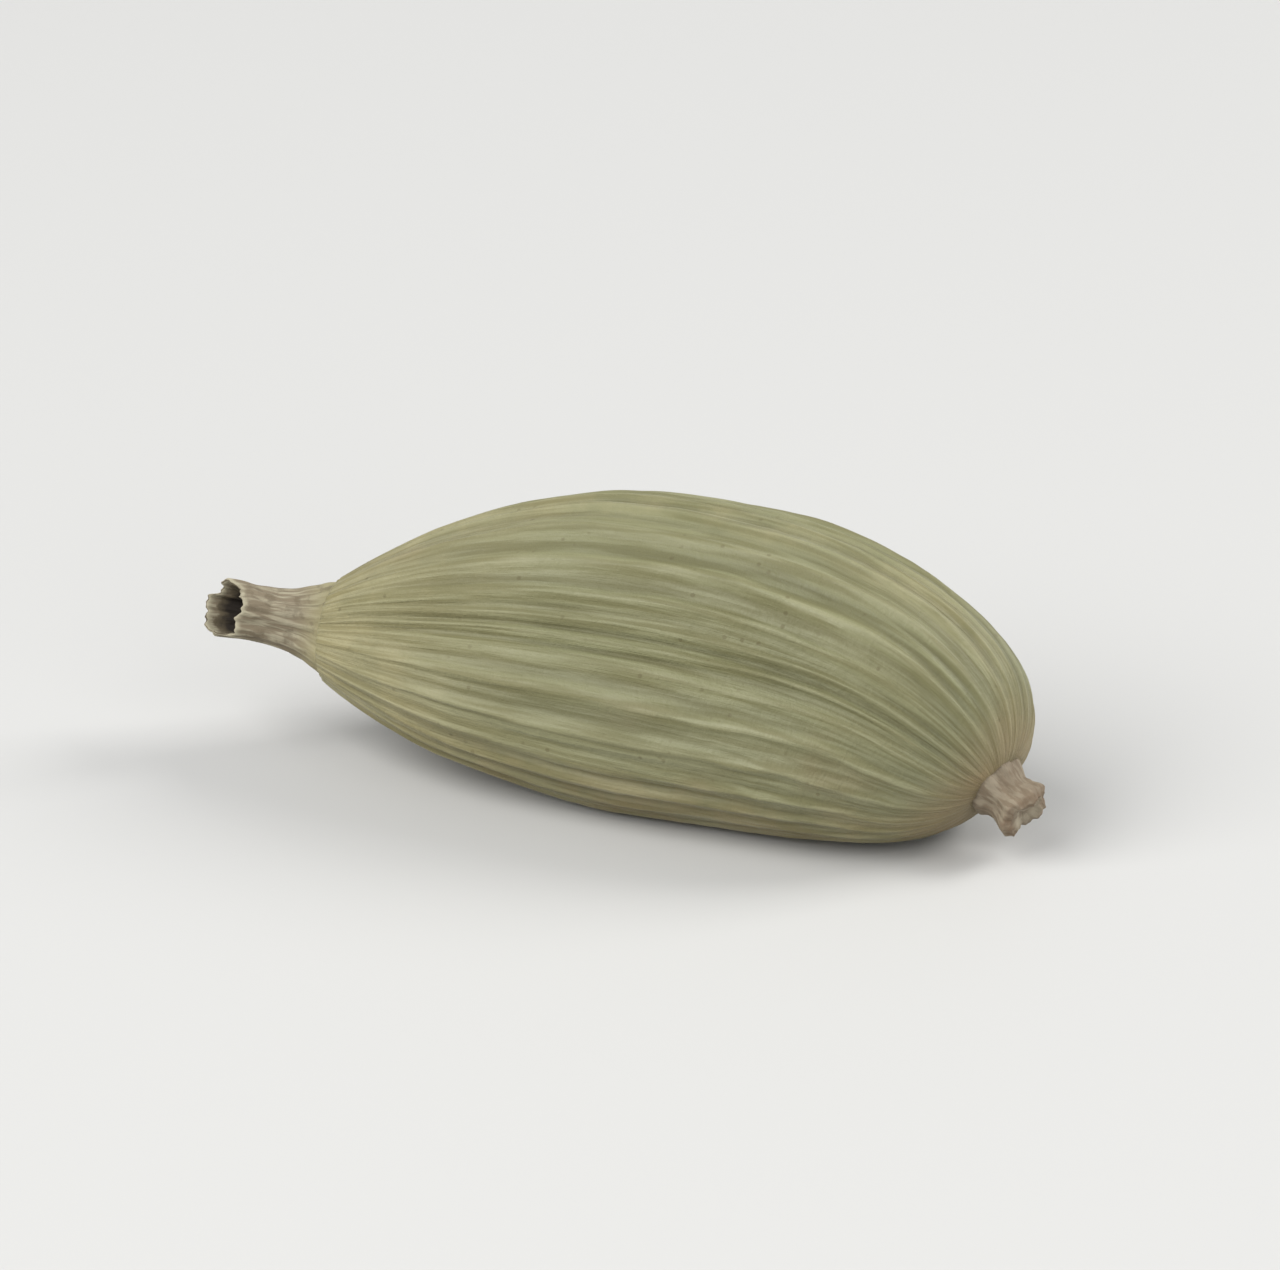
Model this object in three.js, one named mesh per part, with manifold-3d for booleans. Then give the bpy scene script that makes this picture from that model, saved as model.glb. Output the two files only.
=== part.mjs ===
// A dried green cardamom pod, lying on one of its three flat faces.
//
// Millimetres, +Z up. The pod's length runs along X: the dry flower-tube remnant points to -X and the broken
// stalk to +X. The origin is on the surface it rests on, under the middle of its box.
//
// Three closed skins make the pod: the ribbed husk, the flower-tube remnant and the stalk stub. Each skin is
// a stack of rings, one ring a station along its axis, closed by a fan of triangles at either end. The husk
// is then cut level where the dry pod has settled flat.

import * as THREE from 'three';
import Module from 'manifold-3d';
import { mergeVertices } from 'three/addons/utils/BufferGeometryUtils.js';

const wasm = await Module();
wasm.setup();

// Whole pod

const HUSK_LENGTH = 18.7;       // between the husk's two seats
const HEIGHT = 7.9;             // from the surface to the top ridge, over the plain husk
const WIDTH = 8.9;              // across the two lower ridges, over the plain husk
const TUBE_REACH = 2.88;        // how far the flower tube stands out of the husk
const STUB_REACH = 1.3;         // how far the stalk stub stands out of the husk
const SEAT_GAP = 0.05;          // clear space between the husk's two seats and what stands on them

// Husk. A wave has a height, a count of waves in a turn and a phase in radians

const HUSK = {
  start: -8.45,                           // seat of the flower tube
  end: -8.45 + HUSK_LENGTH,               // seat of the stalk stub
  widest: 1.5,                            // where the husk is thickest
  startSeat: { radius: 1.45, height: 3.25, reachPower: 2.0 },
  endSeat: { radius: 0.84, height: 1.9, reachPower: 3.8 },
  startTaper: 1.45,                       // above 1 draws the shoulder out to a beak
  endTaper: 0.72,                         // below 1 keeps the shoulder full
  lean: { up: 0.50, side: 0.35, from: 0.45 }, // how the sections near the stalk lean over it, millimetres
                                          // along for each millimetre up and to the left of the spine
  triangle: 0.092,                        // how three-sided the cross-section is
  ridgeBlunt: 0.012,                      // rounds the three ridges off
  startRound: 0.22,                       // share of the stations over which the round seat turns three-sided
  endRound: 0.16,
  furrow: { depth: 0.11, spread: 0.21 },  // dip along the middle of each face, spread in radians
  twist: 0.16,                            // how far the ribs wind round the husk from end to end, in radians
  bend: 1.2,                              // sideways bow of the long axis
  settled: {
    depth: 0.20,                          // how deep the resting face is cut level
    spread: 0.56,                         // how far round the husk its ribs are pressed out, in radians
    length: 6.0,                          // how far along the husk, to either side of the widest place
  },
  swells: [                               // soft bulges over the seeds, heights as shares of the thickness
    { height: 0.006, count: 2, phase: 0.0, along: 1.15 },
    { height: 0.005, count: -3, phase: 1.3, along: 0.80 },
  ],
  stations: 34,
};

const RIB = {
  perFace: 11,
  samples: 4,                             // vertices across one rib
  height: 0.095,                          // crest over the plain husk, on the widest part
  sharpness: 1.5,                         // above 1 makes narrow crests and wide troughs
  gather: 1.2,                            // above 1 lowers the ribs sooner towards the two seats
  spacing: [                              // how far the crests stray from even steps, in radians
    { height: 0.036, count: 6, phase: 0.7 },
    { height: 0.026, count: 5, phase: 2.1 },
  ],
  meanStrength: 0.84,
  ownStrength: { height: 0.20, step: 2.4 },                         // differs from rib to rib
  driftStrength: [{ height: 0.14, count: 9, phase: 0, along: 0.55 }], // and along each rib
};

// Flower-tube remnant

const TUBE = {
  around: 40,
  root: 1.40,                             // radius where it grows from the husk
  waist: 0.72,                            // radius at its narrowest
  waistAt: 0.7,                           // how far out that is, as a share of the reach
  mouth: 0.76,                            // radius at the open end
  wall: 0.26,
  lip: 0.05,                              // how far the middle of the rim stands beyond its edges
  boreDepth: 1.8,
  rise: 0.70,                             // how much higher the mouth is than the root
  risePower: 1.5,
  swing: 1.25,                            // how far the tube bends aside, on from the husk's bow
  swingPower: 1.6,
  creases: [                              // shares of the radius
    { height: 0.085, count: 5, phase: 2.2 },
    { height: 0.030, count: 11, phase: 1.6 },
  ],
  creasesFrom: 0.2,                       // share of the reach over which the round root gets its creases
  ragged: [                               // the torn rim, in millimetres
    { height: 0.075, count: 6, phase: 1.6 },
    { height: 0.060, count: 4, phase: 3.5 },
  ],
  raggedSetBack: 0.12,
  slant: { height: 0.28, angle: 2.5 },    // the tear runs aslant: shortest at this angle, in radians
  raggedFrom: 0.55,
  outerStations: 12,
  innerStations: 7,
};

// Stalk stub

const STUB = {
  around: 28,
  root: 0.84,
  waist: 0.66,
  waistAt: 0.4,
  end: 0.80,
  endAt: 0.85,
  worn: 0.16,                             // how much of its radius the broken rim loses
  hollow: 0.16,                           // dip in the broken end
  fibres: [                               // shares of the radius
    { height: 0.055, count: 7, phase: 2.0 },
    { height: 0.030, count: 4, phase: 3.6 },
  ],
  broken: [{ height: 0.09, count: 3, phase: 2.4 }],                 // uneven end, in millimetres
  brokenSetBack: 0.09,
  stations: 7,
};

// Small formulas

const TAU = Math.PI * 2;
const FACES = 3;
const RIBS = FACES * RIB.perFace;

/** Even blend between a and b. */
const mix = (a, b, t) => a + (b - a) * t;

/** Rises from 0 at a to 1 at b with flat ends. */
const ease = (a, b, t) => THREE.MathUtils.smoothstep(t, a, b);

/** A dip or swell of height 1 round zero. */
const bell = (distance, spread) => Math.exp(-((distance / spread) ** 2));

/** An angle brought between -half a turn and half a turn. */
const wrapAngle = (angle) => angle - TAU * Math.round(angle / TAU);

/** Sum of waves round a circle. A wave with an along value also changes with the place along the pod. */
const waves = (list, angle, x = 0) => list.reduce(
  (sum, wave) => sum + wave.height * Math.sin(wave.count * angle + wave.phase + (wave.along ?? 0) * x),
  0,
);

/** Every part from 0 to 1 in even steps, both ends included. */
const steps = (count) => Array.from({ length: count }, (_, i) => i / (count - 1));

/** Every angle of a turn in even steps. */
const turnSteps = (count) => Array.from({ length: count }, (_, i) => TAU * i / count);

/**
 * One closed skin over a list of rings. The rings hold as many points each, turn from +Y to +Z and follow
 * each other along +X, which puts the faces' outside outwards.
 */
function closedSkin(rings, firstCentre, lastCentre) {
  const around = rings[0].length;
  const points = [...rings.flat(), firstCentre, lastCentre];
  const first = points.length - 2;
  const last = points.length - 1;
  const triangles = [];
  for (let i = 0; i < around; i += 1) {
    const j = (i + 1) % around;
    triangles.push(first, j, i);
    for (let row = 0; row < rings.length - 1; row += 1) {
      const here = row * around;
      const next = here + around;
      triangles.push(here + i, here + j, next + i, next + i, here + j, next + j);
    }
    const end = (rings.length - 1) * around;
    triangles.push(last, end + i, end + j);
  }
  const geometry = new THREE.BufferGeometry().setFromPoints(points);
  geometry.setIndex(triangles);
  geometry.computeVertexNormals();
  return geometry;
}

// Husk

// The rounded triangle's radius over its mean, straight up at a ridge and straight down at a face
const UP = 1 + HUSK.triangle - HUSK.ridgeBlunt;
const DOWN = 1 - HUSK.triangle - HUSK.ridgeBlunt;
const HALF_HEIGHT = (HEIGHT + HUSK.settled.depth) / (UP + DOWN);
const HALF_WIDTH = WIDTH / 2 / 1.03;      // the rounded triangle is 3% wider than its mean
const MID_HEIGHT = DOWN * HALF_HEIGHT - HUSK.settled.depth;
const RESTING = -Math.PI / 2;             // angle of the face that the pod lies on

/**
 * How far along and how thick the husk is at a station. t runs from 0 to 1 between the seats and turns into
 * an angle phi on a half circle, so that the stations crowd together on the rounded shoulders. Position is
 * the cosine of phi and thickness its sine raised to a taper.
 */
function huskStation(t) {
  const startSine = HUSK.startSeat.radius / HALF_HEIGHT;
  const endSine = HUSK.endSeat.radius / HALF_HEIGHT;
  const phiStart = Math.asin(startSine ** (1 / HUSK.startTaper));
  const phiEnd = Math.PI - Math.asin(endSine ** (1 / HUSK.endTaper));
  const phi = mix(phiStart, phiEnd, t);
  const before = phi < Math.PI / 2;
  const reach = before
    ? (HUSK.widest - HUSK.start) / Math.cos(phiStart)
    : (HUSK.end - HUSK.widest) / -Math.cos(phiEnd);
  return {
    x: HUSK.widest - reach * Math.cos(phi),
    thickness: Math.sin(phi) ** (before ? HUSK.startTaper : HUSK.endTaper),
  };
}

/** Height of the line that the ribs gather round: high at the flower tube, low at the stalk. */
function spineHeight(x) {
  const { start, end, widest, startSeat, endSeat } = HUSK;
  if (x < widest) {
    return mix(MID_HEIGHT, startSeat.height, ((widest - x) / (widest - start)) ** startSeat.reachPower);
  }
  return mix(MID_HEIGHT, endSeat.height, ((x - widest) / (end - widest)) ** endSeat.reachPower);
}

/** Sideways place of the same line: a shallow bow that is zero at both seats. */
function spineSide(x) {
  return HUSK.bend * Math.sin(Math.PI * (x - HUSK.start) / (HUSK.end - HUSK.start));
}

/** Height of the ribs over the plain husk: a sharpened cosine for each rib, and each has its own strength. */
function ribRelief(turn, x) {
  const crest = 2 * (0.5 + 0.5 * Math.cos(RIBS * turn)) ** RIB.sharpness - 1;
  const own = RIB.ownStrength.height * Math.sin(RIB.ownStrength.step * RIBS * turn / TAU);
  return RIB.height * crest * (RIB.meanStrength + own + waves(RIB.driftStrength, turn, x));
}

/** Cross-section radius over its mean: a rounded triangle with one ridge up. */
function sectionRadius(angle, shape) {
  const fromRidge = angle - Math.PI / 2;
  const corners = HUSK.triangle * Math.cos(FACES * fromRidge);
  const blunting = HUSK.ridgeBlunt * Math.cos(2 * FACES * fromRidge);
  return 1 + shape * (corners - blunting);
}

/** Depth of the furrow along the middle of each of the two faces that look up. */
function furrowDepth(angle) {
  const middles = [Math.PI / 2 + Math.PI / FACES, Math.PI / 2 - Math.PI / FACES];
  const dips = middles.map((middle) => bell(wrapAngle(angle - middle), HUSK.furrow.spread));
  return HUSK.furrow.depth * (dips[0] + dips[1]);
}

/**
 * One ring of the husk. From HUSK.lean.from on, the ring leans more and more: its top and its left side
 * reach further along the pod, so that the full shoulder hangs over the stalk and the last ring faces down
 * and aside.
 */
function huskRing(t) {
  const { x, thickness } = huskStation(t);
  const lean = ease(HUSK.lean.from, 1, t);
  const shape = ease(0, HUSK.startRound, t) * ease(0, HUSK.endRound, 1 - t);
  const gathered = thickness ** RIB.gather;
  return turnSteps(RIBS * RIB.samples).map((turn) => {
    const angle = turn + waves(RIB.spacing, turn) + HUSK.twist * (t - 0.5);
    const settled = bell(wrapAngle(angle - RESTING), HUSK.settled.spread)
      * bell(x - HUSK.widest, HUSK.settled.length);
    const swell = shape * (1 - settled) * waves(HUSK.swells, angle, x);
    const mean = thickness * (sectionRadius(angle, shape) + swell);
    const raised = gathered * (1 - settled) * (ribRelief(turn, x) - furrowDepth(angle));
    const side = Math.cos(angle) * (mean * HALF_WIDTH + raised);
    const up = Math.sin(angle) * (mean * HALF_HEIGHT + raised);
    return new THREE.Vector3(
      x + lean * (HUSK.lean.up * up + HUSK.lean.side * side),
      spineSide(x) + side,
      spineHeight(x) + up,
    );
  });
}

/** A three.js geometry as a solid that can be cut. */
function solidOf(geometry) {
  const bare = geometry.clone();
  bare.deleteAttribute('normal');
  bare.deleteAttribute('uv');
  const merged = mergeVertices(bare);
  return new wasm.Manifold(new wasm.Mesh({
    numProp: 3,
    vertProperties: new Float32Array(merged.attributes.position.array),
    triVerts: new Uint32Array(merged.index.array),
  }));
}

/** A cut solid back as a three.js geometry. */
function geometryOf(solid) {
  const mesh = solid.getMesh();
  const geometry = new THREE.BufferGeometry();
  geometry.setAttribute('position', new THREE.BufferAttribute(new Float32Array(mesh.vertProperties), 3));
  geometry.setIndex(new THREE.BufferAttribute(new Uint32Array(mesh.triVerts), 1));
  geometry.computeVertexNormals();
  return geometry;
}

function huskGeometry() {
  const skin = closedSkin(
    steps(HUSK.stations).map(huskRing),
    new THREE.Vector3(HUSK.start, spineSide(HUSK.start), HUSK.startSeat.height),
    new THREE.Vector3(HUSK.end, spineSide(HUSK.end), HUSK.endSeat.height),
  );
  const below = new THREE.BoxGeometry(2 * HUSK_LENGTH, 2 * WIDTH, HEIGHT).translate(0, 0, -HEIGHT / 2);
  return geometryOf(solidOf(skin).subtract(solidOf(below)));
}

// Flower-tube remnant

/**
 * A function that places points from how far they are out in a direction, to the side of it and up. To the
 * side is level and square to the direction, and up is square to both.
 */
function placer(origin, direction) {
  const ahead = direction.clone().normalize();
  const along = ahead.x < 0 ? ahead.clone().negate() : ahead;
  const side = new THREE.Vector3(0, 0, 1).cross(along).normalize();
  const above = along.clone().cross(side);
  return (out, aside, up) => origin.clone()
    .addScaledVector(ahead, out)
    .addScaledVector(side, aside)
    .addScaledVector(above, up);
}

/** Places points about the tube's bent axis, at a distance out from the husk's seat. */
function tubePlacer(out) {
  const s = out / TUBE_REACH;
  const { rise, risePower, swing, swingPower } = TUBE;
  return placer(
    new THREE.Vector3(
      HUSK.start - SEAT_GAP - out,
      -swing * s ** swingPower,
      HUSK.startSeat.height + rise * s ** risePower,
    ),
    new THREE.Vector3(
      -TUBE_REACH,
      -swing * swingPower * s ** (swingPower - 1),
      rise * risePower * s ** (risePower - 1),
    ),
  );
}

/** A ring of the tube. creased and torn, from 0 to 1, are its shares of the creases and of the torn rim. */
function tubeRing(out, radius, creased, torn) {
  const place = tubePlacer(out);
  return turnSteps(TUBE.around).map((angle) => {
    const r = radius * (1 + creased * waves(TUBE.creases, angle));
    const slant = TUBE.slant.height * Math.cos(angle - TUBE.slant.angle);
    const edge = waves(TUBE.ragged, angle) - TUBE.raggedSetBack - slant;
    return place(torn * edge, Math.cos(angle) * r, Math.sin(angle) * r);
  });
}

/** Radius of the tube's outside: a neck that narrows in a parabola to a waist and flares again to the mouth. */
function tubeRadius(t) {
  return t < TUBE.waistAt
    ? mix(TUBE.waist, TUBE.root, (1 - t / TUBE.waistAt) ** 2)
    : mix(TUBE.waist, TUBE.mouth, ease(TUBE.waistAt, 1, t));
}

function tubeGeometry() {
  const reach = TUBE_REACH - SEAT_GAP;
  const bottom = reach - TUBE.boreDepth;
  const torn = (t) => ease(TUBE.raggedFrom, 1, t);
  const outside = steps(TUBE.outerStations).map(
    (t) => tubeRing(reach * t, tubeRadius(t), ease(0, TUBE.creasesFrom, t), torn(t)),
  );
  const lip = tubeRing(reach + TUBE.lip, tubeRadius(1) - TUBE.wall / 2, 1, 1);
  const inside = steps(TUBE.innerStations)
    .map((share) => mix(1, bottom / reach, share))
    .map((t) => tubeRing(reach * t, tubeRadius(Math.max(t, TUBE.waistAt)) - TUBE.wall, 1, torn(t)));
  return closedSkin(
    [...outside, lip, ...inside].reverse(),
    tubePlacer(bottom)(0, 0, 0),
    tubePlacer(0)(0, 0, 0),
  );
}

// Stalk stub

/** Radius of the stub: a waist, a flare to the broken end, and a worn rim. */
function stubRadius(t) {
  const plain = t < STUB.waistAt
    ? mix(STUB.root, STUB.waist, ease(0, STUB.waistAt, t))
    : mix(STUB.waist, STUB.end, ease(STUB.waistAt, STUB.endAt, t));
  return plain * (1 - STUB.worn * ease(STUB.endAt, 1, t));
}

/** Places points about the stub's axis, which stands square to the husk's last ring. */
const stubPlace = placer(
  new THREE.Vector3(HUSK.end, 0, HUSK.endSeat.height),
  new THREE.Vector3(1, -HUSK.lean.side, -HUSK.lean.up),
);

function stubRing(t) {
  const reach = STUB_REACH - SEAT_GAP;
  return turnSteps(STUB.around).map((angle) => {
    const r = stubRadius(t) * (1 + waves(STUB.fibres, angle));
    const broken = t ** 3 * (waves(STUB.broken, angle) - STUB.brokenSetBack);
    return stubPlace(SEAT_GAP + reach * t + broken, Math.cos(angle) * r, Math.sin(angle) * r);
  });
}

function stubGeometry() {
  return closedSkin(
    steps(STUB.stations).map(stubRing),
    stubPlace(SEAT_GAP, 0, 0),
    stubPlace(STUB_REACH - STUB.brokenSetBack - STUB.hollow, 0, 0),
  );
}

// Assembly

const colours = {
  husk: new THREE.MeshStandardMaterial({ color: 0x8f8f52, roughness: 0.62, metalness: 0 }),
  tube: new THREE.MeshStandardMaterial({ color: 0xb3a678, roughness: 0.85, metalness: 0 }),
  stub: new THREE.MeshStandardMaterial({ color: 0xa38a6c, roughness: 0.85, metalness: 0 }),
};

function piece(name, geometry, material) {
  const mesh = new THREE.Mesh(geometry, material);
  mesh.name = name;
  return mesh;
}

const pod = new THREE.Group();
pod.add(
  piece('husk', huskGeometry(), colours.husk),
  piece('calyx_tube', tubeGeometry(), colours.tube),
  piece('stalk_stub', stubGeometry(), colours.stub),
);

const middle = new THREE.Box3().setFromObject(pod).getCenter(new THREE.Vector3());
pod.position.set(-middle.x, -middle.y, 0);
pod.updateMatrixWorld(true);

export default pod;
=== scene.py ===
"""A dried green cardamom pod on a pale table top.

The pod is three pieces that each stand for one solid of the frame: the ribbed husk, the torn remnant of the
flower tube on its tip and the broken end of its stalk. Every piece is a surface worked out over a grid of
two parameters, with numpy, in millimetres, and is put into its mesh in metres.
"""

import logging
import math
from dataclasses import dataclass
from enum import Enum
from typing import Sequence

import bpy
import numpy as np
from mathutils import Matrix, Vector
from numpy.typing import NDArray

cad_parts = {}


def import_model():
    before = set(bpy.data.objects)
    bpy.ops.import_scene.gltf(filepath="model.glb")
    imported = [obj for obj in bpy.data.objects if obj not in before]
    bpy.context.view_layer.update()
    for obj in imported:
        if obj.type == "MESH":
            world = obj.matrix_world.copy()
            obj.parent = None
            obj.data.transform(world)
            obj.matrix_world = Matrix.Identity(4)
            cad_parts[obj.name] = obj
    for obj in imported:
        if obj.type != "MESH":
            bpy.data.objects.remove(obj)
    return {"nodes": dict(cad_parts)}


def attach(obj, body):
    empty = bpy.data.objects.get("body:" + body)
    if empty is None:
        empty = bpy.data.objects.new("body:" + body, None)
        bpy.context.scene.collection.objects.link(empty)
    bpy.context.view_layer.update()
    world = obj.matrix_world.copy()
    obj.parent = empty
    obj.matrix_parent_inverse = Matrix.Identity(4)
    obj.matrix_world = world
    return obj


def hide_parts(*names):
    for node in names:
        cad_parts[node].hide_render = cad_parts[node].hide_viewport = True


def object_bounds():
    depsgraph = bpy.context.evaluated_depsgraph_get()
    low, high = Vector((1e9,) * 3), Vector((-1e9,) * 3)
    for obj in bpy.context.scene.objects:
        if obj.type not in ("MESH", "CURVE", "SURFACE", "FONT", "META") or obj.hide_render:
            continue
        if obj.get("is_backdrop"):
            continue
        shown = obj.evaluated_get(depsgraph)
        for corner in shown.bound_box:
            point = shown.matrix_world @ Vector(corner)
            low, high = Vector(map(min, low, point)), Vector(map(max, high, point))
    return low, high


LOG = logging.getLogger("cardamom_pod")

Array = NDArray[np.float64]
Colour = tuple[float, float, float, float]
Socket = bpy.types.NodeSocket

MM = 0.001
TAU = 2.0 * math.pi
BODY = "root"
MIDDLE = np.array([0.178, -1.205, 0.0])  # brings the middle of the pod's box over the origin, in millimetres


# Small formulas


def mix(low: Array | float, high: Array | float, share: Array | float) -> Array | float:
    """Returns the even blend of low and high."""
    return low + (high - low) * share


def ease(low: float, high: float, value: Array) -> Array:
    """Rises from 0 at low to 1 at high with level ends.

    Args:
        low: Value where the rise starts.
        high: Value where it ends.
        value: Values to ease.

    Returns:
        The eased values, from 0 to 1.
    """
    share = np.clip((value - low) / (high - low), 0.0, 1.0)
    return share * share * (3.0 - 2.0 * share)


def bell(distance: Array, spread: float) -> Array:
    """Returns a swell of height 1 round a distance of zero."""
    return np.exp(-((distance / spread) ** 2))


def peaks(angle: Array, power: float) -> Array:
    """Returns a cosine brought between 0 and 1 and raised to a power, which narrows its crests."""
    return (0.5 + 0.5 * np.cos(angle)) ** power


def wrap_angle(angle: Array) -> Array:
    """Returns an angle brought between minus and plus half a turn."""
    return angle - TAU * np.round(angle / TAU)


def srgb(red: int, green: int, blue: int) -> Colour:
    """Turns an 8-bit screen colour into the linear colour that a shader socket wants.

    Args:
        red: Red from 0 to 255.
        green: Green from 0 to 255.
        blue: Blue from 0 to 255.

    Returns:
        Linear red, green, blue and an alpha of 1.
    """

    def linear(value: int) -> float:
        """Returns one channel without its screen curve."""
        share = value / 255.0
        return share / 12.92 if share <= 0.04045 else ((share + 0.055) / 1.055) ** 2.4

    return linear(red), linear(green), linear(blue), 1.0


@dataclass(frozen=True)
class Wave:
    """A sine round a circle: height, waves in a turn, phase, and the phase's change a millimetre along."""

    height: float
    count: int
    phase: float
    along: float = 0.0

    def at(self, angle: Array, x: Array | float = 0.0) -> Array:
        """Returns the wave's height at an angle and a place along the pod."""
        return self.height * np.sin(self.count * angle + self.phase + self.along * x)

    def slope(self, angle: Array) -> Array:
        """Returns how fast the wave rises with the angle."""
        return self.count * self.height * np.cos(self.count * angle + self.phase)


def waves(parts: Sequence[Wave], angle: Array, x: Array | float = 0.0) -> Array:
    """Returns the sum of some waves at an angle and a place along the pod."""
    return sum(part.at(angle, x) for part in parts)


class RingNoise:
    """Smooth random heights over a closed ring of cells, so that no seam shows round the pod."""

    def __init__(self, seed: int) -> None:
        """Starts the draw from a fixed seed."""
        self.draw = np.random.default_rng(seed)

    def field(self, turn: Array, share: Array, around: int, along: int) -> Array:
        """Blends random values of a grid of cells with eased weights.

        Args:
            turn: Angle round the ring, in radians.
            share: Place along it, from 0 to 1.
            around: Cells in a turn.
            along: Cells from end to end.

        Returns:
            Values from -1 to 1, with the shape of turn and share together.
        """
        grid = self.draw.uniform(-1.0, 1.0, (along + 2, around))
        u, v = np.broadcast_arrays(np.mod(turn / TAU, 1.0) * around, np.clip(share, 0.0, 1.0) * along)
        column, row = np.floor(u).astype(int), np.floor(v).astype(int)
        fu, fv = ease(0.0, 1.0, u - column), ease(0.0, 1.0, v - row)
        left, right = column % around, (column + 1) % around
        lower = mix(grid[row, left], grid[row, right], fu)
        upper = mix(grid[row + 1, left], grid[row + 1, right], fu)
        return mix(lower, upper, fv)


# Meshes


def wound(angle: Array, along: Array, scale: Array | float = 1.0) -> Array:
    """Returns places that go round with the angle and run along a piece, for patterns that follow it."""
    return np.stack(np.broadcast_arrays(np.cos(angle) * scale, np.sin(angle) * scale, along), axis=-1)


def closed_piece(
    name: str, material: bpy.types.Material, rings: Array, first: Array, last: Array, **values: Array
) -> bpy.types.Object:
    """Puts a closed surface, a stack of rings with a fan at either end, into one smooth mesh at the origin.

    The rings turn from +Y to +Z and follow each other along +X, which puts the faces' outside outwards.

    Args:
        name: Name of the object.
        material: Material of all its faces.
        rings: Points in millimetres, with the shape (rings, points a ring, 3).
        first: Middle point of the fan over the first ring.
        last: Middle point of the fan over the last ring.
        **values: Named values for the points, one or three to a point, or one to a ring. The fans' middle
            points get the mean of their ring.

    Returns:
        The new object, linked to the scene.
    """
    rows, columns = rings.shape[:2]
    here = np.arange(rows * columns).reshape(rows, columns)
    after = np.roll(here, -1, axis=1)
    quads = np.stack([here[:-1], after[:-1], after[1:], here[1:]], axis=-1).reshape(-1, 4)
    start = np.stack([np.full(columns, rows * columns), after[0], here[0]], axis=-1)
    end = np.stack([np.full(columns, rows * columns + 1), here[-1], after[-1]], axis=-1)
    corners = np.concatenate([quads.ravel(), start.ravel(), end.ravel()])
    totals = np.repeat([4, 3], [len(quads), 2 * columns])
    points = (np.vstack([rings.reshape(-1, 3), first, last]) + MIDDLE) * MM

    mesh = bpy.data.meshes.new(name)
    mesh.vertices.add(len(points))
    mesh.vertices.foreach_set("co", points.ravel())
    mesh.loops.add(len(corners))
    mesh.loops.foreach_set("vertex_index", corners)
    mesh.polygons.add(len(totals))
    mesh.polygons.foreach_set("loop_start", np.cumsum(totals) - totals)
    mesh.polygons.foreach_set("loop_total", totals)
    mesh.polygons.foreach_set("use_smooth", np.ones(len(totals), dtype=bool))
    for key, value in values.items():
        wide = value.ndim == 3
        block = np.broadcast_to(value, (rows, columns) + value.shape[2:]).reshape(rows * columns, -1)
        block = np.vstack([block, block[:columns].mean(axis=0), block[-columns:].mean(axis=0)])
        attribute = mesh.attributes.new(key, "FLOAT_VECTOR" if wide else "FLOAT", "POINT")
        attribute.data.foreach_set("vector" if wide else "value", block.ravel().astype(np.float32))
    mesh.update(calc_edges=True)
    mesh.validate()
    mesh.materials.append(material)
    thing = bpy.data.objects.new(name, mesh)
    bpy.context.scene.collection.objects.link(thing)
    return thing


# Shader nodes


class Coords(Enum):
    """Where a pattern reads its place from."""

    OBJECT = "Object"
    FLOW = "flow"


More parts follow.
